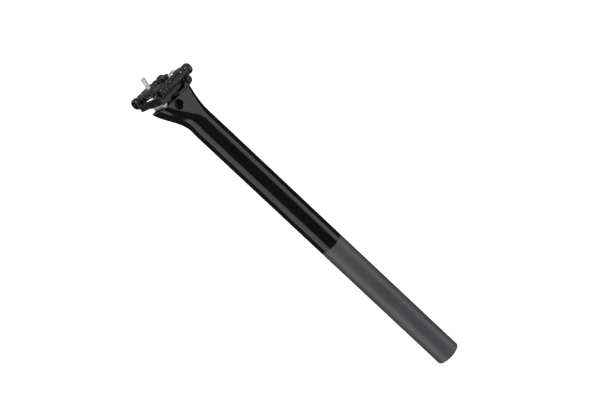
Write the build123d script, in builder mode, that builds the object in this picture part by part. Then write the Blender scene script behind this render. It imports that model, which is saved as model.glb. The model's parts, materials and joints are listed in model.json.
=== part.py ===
"""Suspension seatpost with a compact rocker head and a two-bolt saddle clamp.

Frame: millimetres. +Z runs up the post, +X points to the front of the bicycle, +Y to its left.
The origin is the centre of the post's bottom end. Everything above the flared head is drawn
in a tilted frame, "head frame", whose x runs forward along the saddle rails and whose height
is measured from the head's sloping top edge.
"""
import os

from build123d import *

# ---- driving dimensions -------------------------------------------------------------------
post_radius = 13.6            # 27.2 mm seat tube standard
post_wall = 2.3
neck_z = 360.0                # where the head begins to flare
head_top_z = 397.2            # sloping top edge of the head, on the post's axis
tilt = 12.0                   # the rails slope down towards the front
head_wall = 2.6

rail_radius = 3.5             # 7 mm saddle rails
rail_spacing = 44.0
rail_height = 16.0            # rails above the head's top edge
clamp_x = -4.8                # middle of the saddle clamp
clamp_rear = -28.5
clamp_front = 19.5
jaw_gap = 0.4                 # between upper and lower jaws

seat_radius = 9.0             # half round seat that sets the saddle's angle
seat_gap = 0.3

pivot_x = 17.3                # rocker pivot, also the front barrel nut
pivot_height = 5.8
pivot_journal = 3.0
pivot_barrel_radius = 3.9
ear_radius = 4.7
ear_inner = 8.8
ear_outer = 12.2
bush_wall = 0.8

damper_x = -9.5               # elastomer roller in the head's cross bore
damper_height = -6.2
damper_radius = 4.7
damper_half = 5.2
bore_radius = 5.0

rear_barrel_x = -20.0
rear_barrel_height = 3.0
rear_barrel_radius = 3.7
rear_lean = 4.8               # rear bolt leans forward, going up
front_lean = -14.0            # front bolt leans rearward, going up
bolt_radius = 2.5
bolt_clear = 3.1
cheek_inner = 5.7
stop_pin_x = 0.4
stop_pin_height = -8.0
stop_pin_radius = 1.5
tongue_half = 5.0

head_frame = Plane(origin=(0, 0, head_top_z), z_dir=Vector(0, 0, 1).rotate(Axis.Y, tilt),
                   x_dir=Vector(1, 0, 0).rotate(Axis.Y, tilt))
side = Plane(origin=(0, 0, head_top_z), z_dir=(0, -1, 0), x_dir=head_frame.x_dir)


def at_side(offset):
    """Side view plane of the head frame, moved to the given y."""
    return Plane(origin=(0, offset, head_top_z), z_dir=(0, -1, 0), x_dir=head_frame.x_dir)


def level(height):
    """Plane parallel to the head's top edge at the given height."""
    return head_frame.offset(height)


def bolt_plane(x, height, lean):
    """Plane square to a bolt that leans in the head frame."""
    direction = Vector(0, 0, 1).rotate(Axis.Y, tilt + lean)
    across = Vector(1, 0, 0).rotate(Axis.Y, tilt + lean)
    centre = head_frame.from_local_coords(Vector(x, 0, height))
    return Plane(origin=centre, z_dir=direction, x_dir=across)


def save(part, name):
    part.label = name
    export_step(part, "parts/" + name + ".step")
    return part


# ---- post ---------------------------------------------------------------------------------
# Each station of the flared head: height above the neck, rear and front reach, half width,
# corner radius.
head_stations = [
    (-4.0, post_radius - 0.05, post_radius - 0.05, post_radius - 0.05, 13.5),
    (12.0, 15.1, 13.6, 13.1, 11.6),
    (22.0, 19.1, 14.7, 12.7, 9.2),
    (33.0, 24.4, 17.4, 12.4, 7.4),
    (46.0, 28.8, 21.4, 12.3, 7.0),
]


def head_section(station, inset):
    height, rear, front, half, corner = station
    with BuildSketch(Plane.XY.offset(neck_z + height)) as section:
        with Locations(((front - rear) / 2, 0)):
            RectangleRounded(front + rear - 2 * inset, 2 * (half - inset), corner - inset)
    return section.sketch


def make_post_tube():
    outer = [head_section(station, 0) for station in head_stations]
    inner = [head_section(station, head_wall) for station in head_stations]
    with BuildPart() as post_tube:
        # round shaft, its bore chamfered at the bottom end
        with BuildSketch(Plane.XY):
            Circle(post_radius)
            Circle(post_radius - post_wall, mode=Mode.SUBTRACT)
        extrude(amount=neck_z - 4.0)
        bottom = post_tube.edges().group_by(Axis.Z)[0].sort_by(SortBy.RADIUS)
        chamfer(bottom[0], 0.5)
        loft(outer)
        loft(inner, mode=Mode.SUBTRACT)
        # sloping top edge of the head
        with BuildSketch(head_frame):
            Rectangle(120, 80)
        extrude(amount=60, mode=Mode.SUBTRACT)
        # cross bore for the elastomer roller
        with BuildSketch(side):
            with Locations((damper_x, damper_height)):
                Circle(bore_radius)
        extrude(amount=20, both=True, mode=Mode.SUBTRACT)
        # countersunk mouths of the cross bore
        for side_sign in (-1, 1):
            mouth = head_frame.from_local_coords(Vector(damper_x, 12.5 * side_sign,
                                                        damper_height))
            with BuildSketch(Plane(origin=mouth, z_dir=(0, -side_sign, 0))):
                Circle(bore_radius + 0.75)
            extrude(amount=0.9, taper=45, mode=Mode.SUBTRACT)
    return post_tube.part


def make_head_insert():
    """Alloy insert bonded into the head: flange, cheeks round the roller, pivot ears."""
    with BuildPart() as head_insert:
        # cheeks and floor inside the head
        with BuildSketch(side):
            with BuildLine():
                Polyline((-15.4, -0.2), (-15.4, -10.0), (-12.5, -15.2), (9.0, -15.2),
                         (11.0, -0.2), close=True)
            make_face()
        extrude(amount=8.9, both=True)
        # flange on top of the front half of the head
        with BuildSketch(level(0.15)):
            with Locations((5.7, 0)):
                RectangleRounded(21.4, 23.2, 4.0)
        extrude(amount=2.4)
        with BuildSketch(side):
            with Locations((2.5, -0.1)):
                Rectangle(15, 0.8)
        extrude(amount=9.0, both=True)
        # pivot ears
        with BuildSketch(at_side(-ear_inner)) as ear:
            with BuildLine():
                Polyline((8.0, 0.5), (16.0, 0.5), (pivot_x + ear_radius, pivot_height),
                         (pivot_x, pivot_height + ear_radius), (8.0, 3.0), close=True)
            make_face()
            with Locations((pivot_x, pivot_height)):
                Circle(ear_radius)
        extrude(amount=ear_outer - ear_inner)
        mirror(about=Plane.XZ)
        # slot for the rocker's tongue and the roller
        with BuildSketch(side):
            with BuildLine():
                Polyline((-16.0, 8.0), (-16.0, -8.0), (-14.6, -13.3), (4.2, -13.3),
                         (6.6, 8.0), close=True)
            make_face()
        extrude(amount=cheek_inner, both=True, mode=Mode.SUBTRACT)
        # room for the front barrel and bolt tip
        with BuildSketch(side):
            with Locations((pivot_x, pivot_height)):
                Circle(ear_radius + 1.0)
            with Locations((16.9, 4.0)):
                Rectangle(9.0, 12.0, rotation=-front_lean)
        extrude(amount=ear_inner - 0.1, both=True, mode=Mode.SUBTRACT)
        # cross bore and ear bores
        with BuildSketch(side):
            with Locations((damper_x, damper_height)):
                Circle(bore_radius - 0.15)
            with Locations((stop_pin_x, stop_pin_height)):
                Circle(stop_pin_radius)
        extrude(amount=15, both=True, mode=Mode.SUBTRACT)
        with BuildSketch(side):
            with Locations((pivot_x, pivot_height)):
                Circle(pivot_journal + bush_wall)
        extrude(amount=15, both=True, mode=Mode.SUBTRACT)
    return head_insert.part


def make_pivot_bush(side_sign):
    """Flanged bush pressed into one ear."""
    with BuildPart() as bush:
        with BuildSketch(at_side(-side_sign * ear_inner)):
            with Locations((pivot_x, pivot_height)):
                Circle(pivot_journal + bush_wall)
                Circle(pivot_journal + 0.05, mode=Mode.SUBTRACT)
        extrude(amount=side_sign * (ear_outer - ear_inner))
    return bush.part


def make_elastomer_roller():
    with BuildPart() as elastomer_roller:
        with BuildSketch(side):
            with Locations((damper_x, damper_height)):
                Circle(damper_radius)
        extrude(amount=damper_half, both=True)
        ends = elastomer_roller.edges().filter_by(GeomType.CIRCLE)
        fillet(ends, 0.6)
        with BuildSketch(side):
            with Locations((damper_x, damper_height)):
                Circle(1.3)
        extrude(amount=damper_half, both=True, mode=Mode.SUBTRACT)
    return elastomer_roller.part


def make_stop_pin():
    """Pin through the insert's cheeks that limits the rocker's travel."""
    with BuildPart() as stop_pin:
        with BuildSketch(side):
            with Locations((stop_pin_x, stop_pin_height)):
                Circle(stop_pin_radius - 0.01)
        extrude(amount=8.9, both=True)
    return stop_pin.part


def make_bottom_pad():
    """Thin rubber pad that cushions the rocker's tongue at the end of its travel."""
    with BuildPart() as bottom_pad:
        with BuildSketch(side):
            with Locations((0.4, -12.6)):
                Rectangle(6.0, 1.4)
        extrude(amount=4.8, both=True)
        fillet(bottom_pad.edges().filter_by(Axis.Y), 0.4)
    return bottom_pad.part


# ---- rocker -------------------------------------------------------------------------------
def make_rocker():
    seat_outer = seat_radius + seat_gap
    with BuildPart() as rocker:
        # plate with the half round seat rising at its middle
        with BuildSketch(side):
            with BuildLine():
                Polyline((-22.6, 5.0), (-22.6, 6.6), (-15.6, 9.6), (5.6, 9.6), (11.0, 9.2),
                         (pivot_x, 9.2), (pivot_x, 4.3), (11.5, 4.3), close=True)
            make_face()
            with Locations((pivot_x, pivot_height)):
                Circle(pivot_barrel_radius + 1.3)
            with Locations((pivot_x, 14.2)):
                Rectangle(14, 10, mode=Mode.SUBTRACT)
            with Locations((clamp_x, rail_height)):
                Circle(seat_outer, mode=Mode.SUBTRACT)
        extrude(amount=8.3, both=True)
        # tail that hoods the rear barrel, open downwards
        with BuildSketch(side):
            Polygon((-21.6, 2.6), (-21.6, 4.6), (-24.3, 4.6), (-24.3, 5.8), (-23.4, 6.7),
                    (-15.6, 9.6), (-13.8, 9.6), (-13.8, 2.6), align=None)
            with Locations((clamp_x, rail_height)):
                Circle(seat_outer, mode=Mode.SUBTRACT)
        extrude(amount=9.0, both=True)
        # tongue that bears on the elastomer roller
        with BuildSketch(side):
            with BuildLine():
                Polyline((-13.4, 6.0), (-13.0, -1.15), (-3.4, -1.15), (-3.4, -10.4),
                         (2.9, -10.4), (5.2, 6.0), close=True)
            make_face()
        extrude(amount=tongue_half, both=True)
        # slot round the stop pin
        with BuildSketch(side):
            with Locations((stop_pin_x - 0.48, stop_pin_height + 0.59)):
                SlotCenterToCenter(1.52, 2 * stop_pin_radius + 0.7, rotation=129)
        extrude(amount=12, both=True, mode=Mode.SUBTRACT)
        # barrels and bolt passages
        with BuildSketch(side):
            with Locations((pivot_x, pivot_height)):
                Circle(pivot_barrel_radius)
        extrude(amount=12, both=True, mode=Mode.SUBTRACT)
        with BuildSketch(side):
            with Locations((rear_barrel_x, rear_barrel_height)):
                Circle(rear_barrel_radius)
        extrude(amount=7.85, both=True, mode=Mode.SUBTRACT)
        with BuildSketch(bolt_plane(pivot_x, pivot_height, front_lean)):
            Circle(bolt_clear)
        extrude(amount=14, both=True, mode=Mode.SUBTRACT)
        with BuildSketch(bolt_plane(rear_barrel_x, rear_barrel_height, rear_lean)):
            Circle(bolt_clear)
        extrude(amount=14, both=True, mode=Mode.SUBTRACT)
        # soften the hood's rear edges
        upright = rocker.edges().filter_by(Axis.Y).group_by(Axis.X)[0]
        fillet(upright, 0.6)
    return rocker.part


def make_pivot_barrel():
    """Front barrel nut: its journals are the rocker's axle, its middle takes the front bolt."""
    with BuildPart() as pivot_barrel:
        with BuildSketch(side):
            with Locations((pivot_x, pivot_height)):
                Circle(pivot_barrel_radius)
        extrude(amount=8.3, both=True)
        with BuildSketch(side):
            with Locations((pivot_x, pivot_height)):
                Circle(pivot_journal)
        extrude(amount=12.0, both=True)
        with BuildSketch(side):
            with Locations((pivot_x, pivot_height)):
                Circle(1.4)
        extrude(amount=12.0, both=True, mode=Mode.SUBTRACT)
        with BuildSketch(bolt_plane(pivot_x, pivot_height, front_lean)):
            Circle(bolt_radius + 0.35)
        extrude(amount=10, both=True, mode=Mode.SUBTRACT)
    return pivot_barrel.part


def make_pivot_screws():
    """Two button screws that keep the pivot barrel between the ears."""
    with BuildPart() as pivot_screws:
        with BuildSketch(at_side(-12.55)):
            with Locations((pivot_x, pivot_height)):
                Circle(4.0)
        extrude(amount=1.5)
        rim = pivot_screws.edges().filter_by(GeomType.CIRCLE).sort_by(Axis.Y)[0]
        fillet(rim, 1.2)
        with BuildSketch(at_side(-7.0)):
            with Locations((pivot_x, pivot_height)):
                Circle(1.35)
        extrude(amount=5.6)
        with BuildSketch(at_side(-13.2)):
            with Locations((pivot_x, pivot_height)):
                RegularPolygon(1.3, 6)
        extrude(amount=1.0, mode=Mode.SUBTRACT)
        mirror(about=Plane.XZ)
    return pivot_screws.part


def make_rear_barrel():
    with BuildPart() as rear_barrel:
        with BuildSketch(side):
            with Locations((rear_barrel_x, rear_barrel_height)):
                Circle(rear_barrel_radius - 0.03)
        extrude(amount=7.6, both=True)
        ends = rear_barrel.edges().filter_by(GeomType.CIRCLE)
        chamfer(ends, 0.6)
        with BuildSketch(bolt_plane(rear_barrel_x, rear_barrel_height, rear_lean)):
            Circle(bolt_radius)
        extrude(amount=10, both=True, mode=Mode.SUBTRACT)
    return rear_barrel.part


def make_rear_bolt():
    """Long stud: threaded into the rear barrel, driven by a hexagon socket at its top end."""
    with BuildPart() as rear_bolt:
        foot = bolt_plane(rear_barrel_x, rear_barrel_height, rear_lean)
        with BuildSketch(foot.offset(-3.6)):
            Circle(bolt_radius - 0.02)
        extrude(amount=36.0)
        ends = rear_bolt.edges().filter_by(GeomType.CIRCLE)
        chamfer(ends, 0.6)
        with BuildSketch(foot.offset(32.5)):
            RegularPolygon(1.4, 6)
        extrude(amount=-3.0, mode=Mode.SUBTRACT)
    return rear_bolt.part


# ---- saddle clamp -------------------------------------------------------------------------
# Beads of a rail jaw along its length: start, end, outer radius, edge rounding.
jaw_ribs = [
    (clamp_rear, -21.5, 5.75, 2.3),
    (-23.0, -18.0, 4.2, 0.2),
    (-19.6, -13.6, 5.2, 1.9),
    (-15.0, -11.0, 4.6, 0.2),
    (-12.9, 3.3, 5.4, 1.3),
    (1.5, 5.5, 4.6, 0.2),
    (4.2, 10.2, 5.2, 1.9),
    (8.5, 13.5, 4.2, 0.2),
    (12.0, clamp_front, 5.75, 2.3),
]


def rail_plane(side_sign):
    """Plane square to one saddle rail, at the rail's centre, looking forward."""
    centre = head_frame.from_local_coords(Vector(0, side_sign * rail_spacing / 2, rail_height))
    return Plane(origin=centre, z_dir=head_frame.x_dir, x_dir=(0, 1, 0))


def bead(side_sign, start, end, radius, rounding):
    with BuildPart() as one_bead:
        with BuildSketch(rail_plane(side_sign).offset(start)):
            Circle(radius)
        extrude(amount=end - start)
        fillet(one_bead.edges().filter_by(GeomType.CIRCLE), rounding)
    return one_bead.part


def rail_barrel(side_sign):
    """Beaded round body about one rail, drilled for the rail."""
    with BuildPart() as barrel:
        for start, end, radius, rounding in jaw_ribs:
            add(bead(side_sign, start, end, radius, rounding))
        with BuildSketch(rail_plane(side_sign).offset(clamp_rear - 1)):
            Circle(rail_radius)
        extrude(amount=clamp_front - clamp_rear + 2, mode=Mode.SUBTRACT)
    return barrel.part


def make_lower_cradle():
    with BuildPart() as lower_cradle:
        for side_sign in (-1, 1):
            add(rail_barrel(side_sign))
        # remove the upper half of both barrels
        with BuildSketch(level(rail_height - jaw_gap / 2)):
            with Locations((clamp_x, 0)):
                Rectangle(90, 90)
        extrude(amount=20, mode=Mode.SUBTRACT)
        # half round hull that rests in the rocker's seat
        with BuildSketch(side):
            with Locations((clamp_x, rail_height)):
                Circle(seat_radius)
            with Locations((clamp_x, rail_height + 8.0)):
                Rectangle(40, 20, mode=Mode.SUBTRACT)
        extrude(amount=8.0, both=True)
        # arms from the hull to the jaws
        with BuildSketch(side):
            with BuildLine():
                Polyline((clamp_x - 7.2, 14.0), (clamp_x - 6.0, 10.8), (clamp_x + 6.0, 10.8),
                         (clamp_x + 7.2, 14.0), close=True)
            make_face()
        extrude(amount=18.4, both=True)
        # rear cross plate
        with BuildSketch(side):
            with BuildLine():
                Polyline((clamp_rear, 13.6), (clamp_rear, 7.6), (clamp_rear + 0.6, 6.6),
                         (clamp_rear + 2.2, 6.6), (clamp_rear + 2.8, 13.6), close=True)
            make_face()
        extrude(amount=18.6, both=True)
    return lower_cradle.part


def make_upper_jaw(side_sign):
    with BuildPart() as upper_jaw:
        add(rail_barrel(side_sign))
        with BuildSketch(level(rail_height + jaw_gap / 2)):
            with Locations((clamp_x, 0)):
                Rectangle(90, 90)
        extrude(amount=-20, mode=Mode.SUBTRACT)
        # inboard ledges that carry the two bridges
        for start, end in ((-24.0, -12.0), (7.6, 16.6)):
            with BuildSketch(level(rail_height + jaw_gap / 2)):
                with Locations(((start + end) / 2, side_sign * 14.9)):
                    Rectangle(end - start, 6.2)
            extrude(amount=1.6)
    return upper_jaw.part


def make_rear_bridge():
    """Block over the rear of both jaws; the captive nut sits in its underside."""
    with BuildPart() as rear_bridge:
        with BuildSketch(side):
            Polygon((-24.2, 15.0), (-12.4, 15.0), (-12.4, 21.6), (-13.8, 23.2),
                    (-22.4, 23.2), (-24.2, 21.4), align=None)
        extrude(amount=6.6, both=True)
        with BuildSketch(side):
            Polygon((-24.0, 18.25), (-12.2, 18.25), (-13.4, 21.4), (-22.8, 21.4), align=None)
        extrude(amount=15.6, both=True)
        foot = bolt_plane(rear_barrel_x, rear_barrel_height, rear_lean)
        with BuildSketch(foot.offset(8)):
            SlotOverall(8.0, 2 * bolt_clear)
        extrude(amount=16, mode=Mode.SUBTRACT)
        with BuildSketch(foot.offset(8)):
            RectangleRounded(10.6, 9.4, 1.0)
        extrude(amount=8.8, mode=Mode.SUBTRACT)
    return rear_bridge.part


def make_front_bridge():
    """Stirrup over the front of both jaws; the front bolt's head sits in its low middle."""
    with BuildPart() as front_bridge:
        profile = Plane(origin=head_frame.from_local_coords(Vector(8.4, 0, 0)),
                        z_dir=head_frame.x_dir, x_dir=(0, 1, 0))
        with BuildSketch(profile):
            with BuildLine():
                Polyline((0, 11.6), (8.2, 11.6), (11.0, 14.4), (11.0, 18.25), (15.6, 18.25),
                         (15.6, 20.4), (9.4, 20.4), (8.0, 18.6), (6.8, 13.6), (0, 13.6),
                         close=True)
            make_face()
            mirror(about=Plane.YZ)
        extrude(amount=8.0)
        # spot face square to the leaning bolt
        neck = bolt_plane(pivot_x, pivot_height, front_lean)
        with BuildSketch(neck.offset(6.3)):
            Rectangle(7.4, 13.0)
        extrude(amount=1.9)
        with BuildSketch(neck.offset(8.2)):
            Rectangle(14.0, 13.2)
        extrude(amount=3.5, mode=Mode.SUBTRACT)
        with BuildSketch(neck):
            SlotOverall(8.2, 2 * bolt_clear)
        extrude(amount=12, mode=Mode.SUBTRACT)
    return front_bridge.part


def make_front_washer():
    with BuildPart() as front_washer:
        with BuildSketch(bolt_plane(pivot_x, pivot_height, front_lean).offset(8.9)):
            Circle(5.0)
            Circle(bolt_radius + 0.2, mode=Mode.SUBTRACT)
        extrude(amount=0.6)
    return front_washer.part


def make_front_bolt():
    foot = bolt_plane(pivot_x, pivot_height, front_lean)
    with BuildPart() as front_bolt:
        with BuildSketch(foot.offset(-3.5)):
            Circle(bolt_radius - 0.02)
        extrude(amount=13.5)
        with BuildSketch(foot.offset(9.55)):
            Circle(4.7)
        extrude(amount=5.0)
        crown = front_bolt.edges().filter_by(GeomType.CIRCLE).sort_by(Axis.Z)[-1]
        fillet(crown, 1.4)
        with BuildSketch(foot.offset(14.55)):
            RegularPolygon(2.3, 6)
        extrude(amount=-3.0, mode=Mode.SUBTRACT)
    return front_bolt.part


def make_rear_nut():
    """Captive nut in the rear bridge's underside."""
    foot = bolt_plane(rear_barrel_x, rear_barrel_height, rear_lean)
    with BuildPart() as rear_nut:
        with BuildSketch(foot.offset(12.2)):
            RectangleRounded(8.6, 8.0, 1.0)
            Circle(bolt_radius + 0.05, mode=Mode.SUBTRACT)
        extrude(amount=4.0)
    return rear_nut.part


os.makedirs("parts", exist_ok=True)
save(make_post_tube(), "post_tube")
save(make_head_insert(), "head_insert")
save(make_pivot_bush(1), "pivot_bush_right")
save(make_pivot_bush(-1), "pivot_bush_left")
save(make_elastomer_roller(), "elastomer_roller")
save(make_stop_pin(), "stop_pin")
save(make_bottom_pad(), "bottom_pad")
save(make_rocker(), "rocker")
save(make_pivot_barrel(), "pivot_barrel")
save(make_pivot_screws(), "pivot_screws")
save(make_rear_barrel(), "rear_barrel")
save(make_rear_bolt(), "rear_bolt")
save(make_lower_cradle(), "lower_cradle")
save(make_upper_jaw(1), "upper_jaw_left")
save(make_upper_jaw(-1), "upper_jaw_right")
save(make_rear_bridge(), "rear_bridge")
save(make_front_bridge(), "front_bridge")
save(make_front_washer(), "front_washer")
save(make_front_bolt(), "front_bolt")
save(make_rear_nut(), "rear_nut")
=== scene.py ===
"""Looks for the suspension seatpost: materials, threaded bolt, roller, floor, light, camera."""
import json
import math

import bmesh
import bpy
from mathutils import Matrix, Vector


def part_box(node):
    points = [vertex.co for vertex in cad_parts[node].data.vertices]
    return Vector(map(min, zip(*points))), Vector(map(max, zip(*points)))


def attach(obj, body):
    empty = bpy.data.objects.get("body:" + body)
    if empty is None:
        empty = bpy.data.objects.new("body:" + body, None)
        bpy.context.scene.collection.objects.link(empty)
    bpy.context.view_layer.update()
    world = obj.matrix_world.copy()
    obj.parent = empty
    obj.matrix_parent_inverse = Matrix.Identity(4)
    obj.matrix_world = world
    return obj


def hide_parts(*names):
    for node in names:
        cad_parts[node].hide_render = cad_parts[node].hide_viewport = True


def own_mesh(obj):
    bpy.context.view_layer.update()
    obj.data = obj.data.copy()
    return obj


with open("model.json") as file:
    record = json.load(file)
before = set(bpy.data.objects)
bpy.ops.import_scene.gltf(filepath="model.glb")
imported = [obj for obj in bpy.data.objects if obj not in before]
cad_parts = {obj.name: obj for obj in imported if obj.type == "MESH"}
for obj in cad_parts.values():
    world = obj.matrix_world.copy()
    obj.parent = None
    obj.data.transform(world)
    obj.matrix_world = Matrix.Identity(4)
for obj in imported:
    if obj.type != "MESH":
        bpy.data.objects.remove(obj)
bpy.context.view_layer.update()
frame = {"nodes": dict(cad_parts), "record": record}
nodes = frame["nodes"]

GLOSS_START = 0.1755          # height where the satin insertion zone ends
THREAD_PITCH = 0.0008
THREAD_DEPTH = 0.00042
TARGET = Vector((0.0129, 0.0, 0.2274))
CAMERA_DISTANCE = 2.76
CAMERA_LENS = 166.2


# ---- node helpers -------------------------------------------------------------------------
class Shader:
    """A small wrapper that makes and links shader nodes by name."""

    def __init__(self, name):
        self.material = bpy.data.materials.new(name)
        self.material.use_nodes = True
        self.tree = self.material.node_tree
        self.surface = self.tree.nodes["Principled BSDF"]
        coords = self.add("ShaderNodeTexCoord")
        self.object_coords = coords.outputs["Object"]

    def add(self, kind, **settings):
        node = self.tree.nodes.new(kind)
        for key, value in settings.items():
            setattr(node, key, value)
        return node

    def link(self, source, target):
        self.tree.links.new(source, target)

    def stretched(self, scale):
        mapping = self.add("ShaderNodeMapping")
        mapping.inputs["Scale"].default_value = scale
        self.link(self.object_coords, mapping.inputs["Vector"])
        return mapping.outputs["Vector"]

    def noise(self, scale, detail=4.0, roughness=0.55, vector=None):
        node = self.add("ShaderNodeTexNoise")
        node.inputs["Scale"].default_value = scale
        node.inputs["Detail"].default_value = detail
        node.inputs["Roughness"].default_value = roughness
        self.link(vector or self.object_coords, node.inputs["Vector"])
        return node.outputs["Fac"]

    def spread(self, value, low, high, to_low=0.0, to_high=1.0):
        node = self.add("ShaderNodeMapRange", interpolation_type="SMOOTHSTEP")
        node.inputs["From Min"].default_value = low
        node.inputs["From Max"].default_value = high
        node.inputs["To Min"].default_value = to_low
        node.inputs["To Max"].default_value = to_high
        self.link(value, node.inputs["Value"])
        return node.outputs["Result"]

    def maths(self, operation, first, second):
        node = self.add("ShaderNodeMath", operation=operation)
        for socket, value in zip(node.inputs, (first, second)):
            if isinstance(value, (int, float)):
                socket.default_value = value
            else:
                self.link(value, socket)
        return node.outputs["Value"]

    def blend(self, factor, first, second):
        """Mix of two colours, each a tuple or a socket."""
        node = self.add("ShaderNodeMix", data_type="RGBA")
        self.link(factor, node.inputs["Factor"])
        for socket, value in ((node.inputs[6], first), (node.inputs[7], second)):
            if isinstance(value, tuple):
                socket.default_value = (*value, 1.0)
            else:
                self.link(value, socket)
        return node.outputs[2]

    def bump(self, height, strength, distance, normal=None):
        node = self.add("ShaderNodeBump")
        node.inputs["Strength"].default_value = strength
        node.inputs["Distance"].default_value = distance
        self.link(height, node.inputs["Height"])
        if normal is not None:
            self.link(normal, node.inputs["Normal"])
        return node.outputs["Normal"]

    def soft_edges(self, radius):
        node = self.add("ShaderNodeBevel", samples=6)
        node.inputs["Radius"].default_value = radius
        return node.outputs["Normal"]

    def edge_wear_and_highlight(self, radius=0.00035):
        """1 along sharp edges and 0 on open faces."""
        geometry = self.add("ShaderNodeNewGeometry")
        bevel = self.add("ShaderNodeBevel", samples=4)
        bevel.inputs["Radius"].default_value = radius
        likeness = self.add("ShaderNodeVectorMath", operation="DOT_PRODUCT")
        self.link(bevel.outputs["Normal"], likeness.inputs[0])
        self.link(geometry.outputs["Normal"], likeness.inputs[1])
        return self.spread(likeness.outputs["Value"], 0.995, 0.90)


def set_slots(names, material):
    for name in names:
        slots = nodes[name].material_slots
        for slot in slots:
            slot.material = material
        if not slots:
            nodes[name].data.materials.append(material)


# ---- materials ----------------------------------------------------------------------------
def carbon_shell():
    """Clear-coated black head and upper shaft, satin insertion zone below a crisp line."""
    s = Shader("carbon_shell")
    split = s.add("ShaderNodeSeparateXYZ")
    s.link(s.object_coords, split.inputs["Vector"])
    height = split.outputs["Z"]
    gloss = s.spread(height, GLOSS_START - 0.0002, GLOSS_START + 0.0002)
    # long fibres lie along the tube, faint under the lacquer
    fibres = s.noise(900.0, 5.0, 0.6, s.stretched((1.0, 1.0, 0.02)))
    haze = s.noise(14.0, 3.0)
    mist = s.noise(2600.0, 2.0)
    satin = s.blend(s.spread(haze, 0.35, 0.65), (0.030, 0.030, 0.033), (0.038, 0.038, 0.042))
    satin = s.blend(s.spread(mist, 0.3, 0.7, 0.0, 0.35), satin, (0.055, 0.055, 0.060))
    lacquer = s.blend(s.spread(fibres, 0.35, 0.7), (0.002, 0.002, 0.0023), (0.0042, 0.0042, 0.0047))
    s.link(s.blend(gloss, satin, lacquer), s.surface.inputs["Base Color"])
    # light rings that a seat tube clamp rubs into the satin
    rings = s.noise(150.0, 4.0, 0.7, s.stretched((0.03, 0.03, 1.0)))
    rub = s.spread(rings, 0.55, 0.75, 0.0, 0.05)
    matt = s.maths("SUBTRACT", s.spread(haze, 0.3, 0.7, 0.36, 0.42), rub)
    shine = s.spread(haze, 0.3, 0.7, 0.09, 0.13)
    roughness = s.add("ShaderNodeMix", data_type="FLOAT")
    s.link(gloss, roughness.inputs["Factor"])
    s.link(matt, roughness.inputs[2])
    s.link(shine, roughness.inputs[3])
    s.link(roughness.outputs[0], s.surface.inputs["Roughness"])
    flow = s.noise(55.0, 2.0)
    peel = s.bump(flow, 0.05, 0.0004)
    grain = s.bump(mist, 0.10, 0.00004, peel)
    s.link(grain, s.surface.inputs["Normal"])
    s.surface.inputs["Specular IOR Level"].default_value = 0.5
    return s.material


def anodised(name, dark, light, roughness=0.36, metallic=0.35):
    """Bead-blasted, anodised alloy that is a little lighter along sharp edges: partly edge wear,
    partly a painted edge highlight.
    """
    s = Shader(name)
    cloud = s.noise(70.0, 3.0)
    blast = s.noise(5200.0, 2.0)
    base = s.blend(s.spread(cloud, 0.35, 0.65), dark, light)
    # sharp edges are blended towards light grey: partly wear, partly a painted edge highlight
    wear_and_highlight = s.maths("MULTIPLY", s.edge_wear_and_highlight(), s.spread(s.noise(2500.0), 0.35, 0.65, 0.4, 1.0))
    wear_and_highlight = s.maths("MULTIPLY", wear_and_highlight, 0.6)
    s.link(s.blend(wear_and_highlight, base, (0.28, 0.28, 0.29)), s.surface.inputs["Base Color"])
    s.link(s.spread(cloud, 0.3, 0.7, roughness - 0.04, roughness + 0.05),
           s.surface.inputs["Roughness"])
    s.link(s.bump(blast, 0.18, 0.00005, s.soft_edges(0.00035)), s.surface.inputs["Normal"])
    s.surface.inputs["Metallic"].default_value = metallic
    return s.material


def bright_steel(name, stretch=(1.0, 1.0, 0.05)):
    """Turned stainless steel with fine lathe marks and faint smears."""
    s = Shader(name)
    turned = s.noise(2600.0, 3.0, 0.6, s.stretched(stretch))
    smear = s.noise(160.0, 3.0)
    s.link(s.blend(s.spread(smear, 0.35, 0.7), (0.62, 0.62, 0.63), (0.48, 0.48, 0.49)),
           s.surface.inputs["Base Color"])
    s.link(s.spread(turned, 0.3, 0.7, 0.20, 0.32), s.surface.inputs["Roughness"])
    s.link(s.bump(turned, 0.12, 0.00004, s.soft_edges(0.0002)), s.surface.inputs["Normal"])
    s.surface.inputs["Metallic"].default_value = 0.6
    return s.material


def rubber(name):
    s = Shader(name)
    bloom = s.noise(90.0, 4.0)
    pores = s.noise(3200.0, 2.0)
    s.link(s.blend(s.spread(bloom, 0.35, 0.7), (0.012, 0.012, 0.012), (0.028, 0.028, 0.027)),
           s.surface.inputs["Base Color"])
    s.link(s.spread(bloom, 0.3, 0.7, 0.6, 0.75), s.surface.inputs["Roughness"])
    s.link(s.bump(pores, 0.3, 0.00006), s.surface.inputs["Normal"])
    return s.material


def polymer(name):
    s = Shader(name)
    mottle = s.noise(300.0, 3.0)
    s.link(s.blend(s.spread(mottle, 0.35, 0.7), (0.05, 0.05, 0.048), (0.08, 0.08, 0.075)),
           s.surface.inputs["Base Color"])
    s.link(s.spread(mottle, 0.3, 0.7, 0.45, 0.6), s.surface.inputs["Roughness"])
    s.link(s.bump(s.noise(2400.0), 0.15, 0.00004), s.surface.inputs["Normal"])
    return s.material


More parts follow.
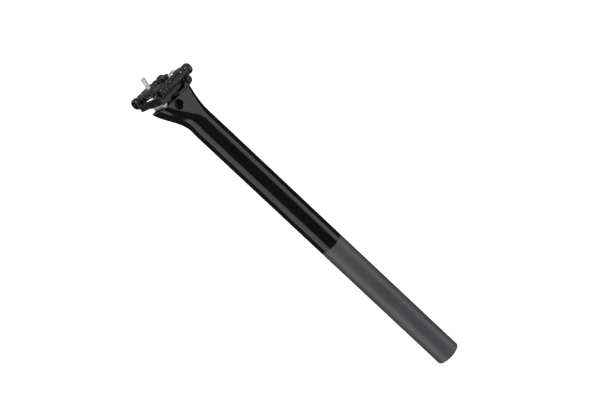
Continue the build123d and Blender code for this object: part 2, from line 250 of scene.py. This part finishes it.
set_slots(["post_tube"], carbon_shell())
black = anodised("black_alloy", (0.006, 0.006, 0.007), (0.011, 0.011, 0.013), 0.20)
brown = anodised("brown_alloy", (0.020, 0.013, 0.012), (0.032, 0.021, 0.019), 0.36)
oxide = anodised("black_steel", (0.012, 0.012, 0.013), (0.020, 0.020, 0.022), 0.26, 0.6)
steel = bright_steel("bright_steel")
set_slots(["head_insert", "rocker", "pivot_barrel", "lower_cradle", "upper_jaw_left",
           "upper_jaw_right", "front_bridge"], black)
set_slots(["rear_bridge"], brown)
set_slots(["pivot_screws"], oxide)
set_slots(["stop_pin", "rear_barrel", "rear_bolt", "front_bolt", "front_washer", "rear_nut"],
          steel)
set_slots(["elastomer_roller", "bottom_pad"], rubber("elastomer"))
set_slots(["pivot_bush_left", "pivot_bush_right"], polymer("bush_polymer"))


# ---- threaded rear bolt -------------------------------------------------------------------
def threaded_bolt(name, node, axis, radius, socket):
    """A stud with a cut thread, chamfered ends and a hexagon socket, on the node's axis."""
    low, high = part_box(node)
    low, high = Vector(low), Vector(high)
    centre = (low + high) / 2
    axis = Vector(axis).normalized()
    length = ((high.z - low.z) - 2 * radius * abs(axis.x)) / axis.z
    turns = 40                                   # points round the stud
    rows_per_pitch = 6
    rows = int(length / THREAD_PITCH * rows_per_pitch)
    lead = 0.0008
    rings = []
    for row in range(rows + 1):
        along = length * row / rows
        end = min(along, length - along)
        taper = min(1.0, end / lead)
        ring = []
        for step in range(turns):
            angle = 2 * math.pi * step / turns
            phase = (along / THREAD_PITCH - step / turns) % 1.0
            groove = min(1.0, max(0.0, 1.6 * abs(2 * phase - 1) - 0.25))
            crest = radius - THREAD_DEPTH * (1 - groove)
            r = crest * (0.78 + 0.22 * taper)
            ring.append((r * math.cos(angle), r * math.sin(angle), along - length / 2))
        rings.append(ring)

    def hexagon(width, z):
        ring = []
        for step in range(turns):
            angle = 2 * math.pi * step / turns
            sector = (angle + math.pi / 6) % (math.pi / 3) - math.pi / 6
            r = width / math.cos(sector)
            ring.append((r * math.cos(angle), r * math.sin(angle), z))
        return ring

    top = length / 2
    rings.append(hexagon(socket * 1.12, top))
    rings.append(hexagon(socket, top - 0.0002))
    rings.append(hexagon(socket, top - 0.0028))
    mesh = bmesh.new()
    loops = [[mesh.verts.new(point) for point in ring] for ring in rings]
    for first, second in zip(loops, loops[1:]):
        for step in range(turns):
            after = (step + 1) % turns
            mesh.faces.new((first[step], first[after], second[after], second[step]))
    for ring, floor_z, flip in ((loops[0], -length / 2, True), (loops[-1], top - 0.0034, False)):
        hub = mesh.verts.new((0, 0, floor_z))
        for step in range(turns):
            after = (step + 1) % turns
            corner = (ring[after], ring[step], hub) if flip else (ring[step], ring[after], hub)
            mesh.faces.new(corner)
    bmesh.ops.recalc_face_normals(mesh, faces=mesh.faces)
    data = bpy.data.meshes.new(name)
    mesh.to_mesh(data)
    mesh.free()
    turn = Vector((0, 0, 1)).rotation_difference(axis).to_matrix().to_4x4()
    data.transform(Matrix.Translation(centre) @ turn)
    data.materials.append(steel)
    piece = bpy.data.objects.new(name, data)
    bpy.context.scene.collection.objects.link(piece)
    for face in data.polygons:
        face.use_smooth = True
    data.set_sharp_from_angle(angle=math.radians(35))
    return piece


record = frame["record"]
rear_axis = next(joint["axis"] for joint in record["behaviour"]["joints"]
                 if joint["name"] == "rear_nut_travel")
stud = threaded_bolt("rear_bolt_threaded", "rear_bolt", rear_axis, 0.00248, 0.00125)
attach(stud, "rocker")
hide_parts("rear_bolt")


# ---- elastomer roller ---------------------------------------------------------------------
# The rocker's tongue presses the roller flatter as it travels down; here the roller is a rigid copy
# with its own mesh, carried by the post.
roller_node = bpy.data.objects["elastomer_roller"]
roller = bpy.data.objects.new("elastomer_roller_soft", roller_node.data.copy())
roller.matrix_world = roller_node.matrix_world.copy()
bpy.context.scene.collection.objects.link(roller)
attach(roller, "post")
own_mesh(roller)
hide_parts("elastomer_roller")


# ---- floor, light and camera --------------------------------------------------------------
def pale_floor():
    s = Shader("pale_floor")
    paper = s.noise(6.0, 2.0)
    tone = s.blend(s.spread(paper, 0.2, 0.8), (0.93, 0.93, 0.93), (0.96, 0.96, 0.96))
    s.link(tone, s.surface.inputs["Base Color"])
    s.link(tone, s.surface.inputs["Emission Color"])
    s.surface.inputs["Emission Strength"].default_value = 0.35
    s.surface.inputs["Roughness"].default_value = 0.9
    return s.material


bpy.ops.mesh.primitive_plane_add(size=60, location=(0, 0, -1.7))
floor = bpy.context.object
floor.name = "floor"
floor.data.materials.append(pale_floor())
floor.visible_glossy = False


def softbox(name, azimuth, distance, height, width, tall, radiance):
    """Rectangular area light that faces the post's axis."""
    angle = math.radians(azimuth)
    data = bpy.data.lights.new(name, "AREA")
    data.shape = "RECTANGLE"
    data.size = width
    data.size_y = tall
    data.energy = radiance * math.pi * width * tall
    lamp = bpy.data.objects.new(name, data)
    lamp.location = (distance * math.cos(angle), distance * math.sin(angle), height)
    aim = Vector((0, 0, 0.2)) - Vector(lamp.location)
    lamp.rotation_euler = aim.to_track_quat("-Z", "Y").to_euler()
    bpy.context.scene.collection.objects.link(lamp)


softbox("soft_front", -53, 1.5, -0.33, 1.05, 2.0, 1.25)
softbox("soft_rear", 174, 1.5, -0.33, 1.4, 2.0, 1.35)
softbox("soft_top", -100, 1.2, 1.7, 0.9, 0.9, 3.0)
softbox("spark_top", -140, 0.8, 1.5, 0.12, 0.12, 220.0)


def studio_world():
    """White surroundings for the eye and for diffuse light, dim ones for reflections."""
    world = bpy.data.worlds.new("studio")
    bpy.context.scene.world = world
    world.use_nodes = True
    tree = world.node_tree
    tree.nodes.clear()
    path = tree.nodes.new("ShaderNodeLightPath")
    coords = tree.nodes.new("ShaderNodeTexCoord")
    split = tree.nodes.new("ShaderNodeSeparateXYZ")
    ramp = tree.nodes.new("ShaderNodeMapRange")
    ramp.inputs["From Min"].default_value = -0.15
    ramp.inputs["From Max"].default_value = 0.5
    ramp.inputs["To Min"].default_value = 0.025
    ramp.inputs["To Max"].default_value = 0.55
    strength = tree.nodes.new("ShaderNodeMix")
    strength.inputs[2].default_value = 0.95
    background = tree.nodes.new("ShaderNodeBackground")
    background.inputs["Color"].default_value = (1.0, 1.0, 1.0, 1.0)
    output = tree.nodes.new("ShaderNodeOutputWorld")
    tree.links.new(coords.outputs["Generated"], split.inputs["Vector"])
    tree.links.new(split.outputs["Z"], ramp.inputs["Value"])
    tree.links.new(path.outputs["Is Glossy Ray"], strength.inputs["Factor"])
    tree.links.new(ramp.outputs["Result"], strength.inputs[3])
    tree.links.new(strength.outputs[0], background.inputs["Strength"])
    tree.links.new(background.outputs["Background"], output.inputs["Surface"])


studio_world()

# The camera stands behind the post on its right-hand side and is rolled, so that the post
# runs from the upper left of the picture to the lower right.
right = Vector((0.4350, -0.5806, -0.6872)).normalized()
toward = Vector((-0.525, -0.784, 0.330)).normalized()
up = toward.cross(right).normalized()
right = up.cross(toward)
camera_data = bpy.data.cameras.new("camera")
camera_data.lens = CAMERA_LENS
camera_data.clip_start = 0.05
camera_data.clip_end = 200.0
camera = bpy.data.objects.new("camera", camera_data)
turn = Matrix((right, up, toward)).transposed().to_4x4()
camera.matrix_world = Matrix.Translation(TARGET + toward * CAMERA_DISTANCE) @ turn
bpy.context.scene.collection.objects.link(camera)
bpy.context.scene.camera = camera
bpy.context.scene.view_settings.view_transform = "Standard"
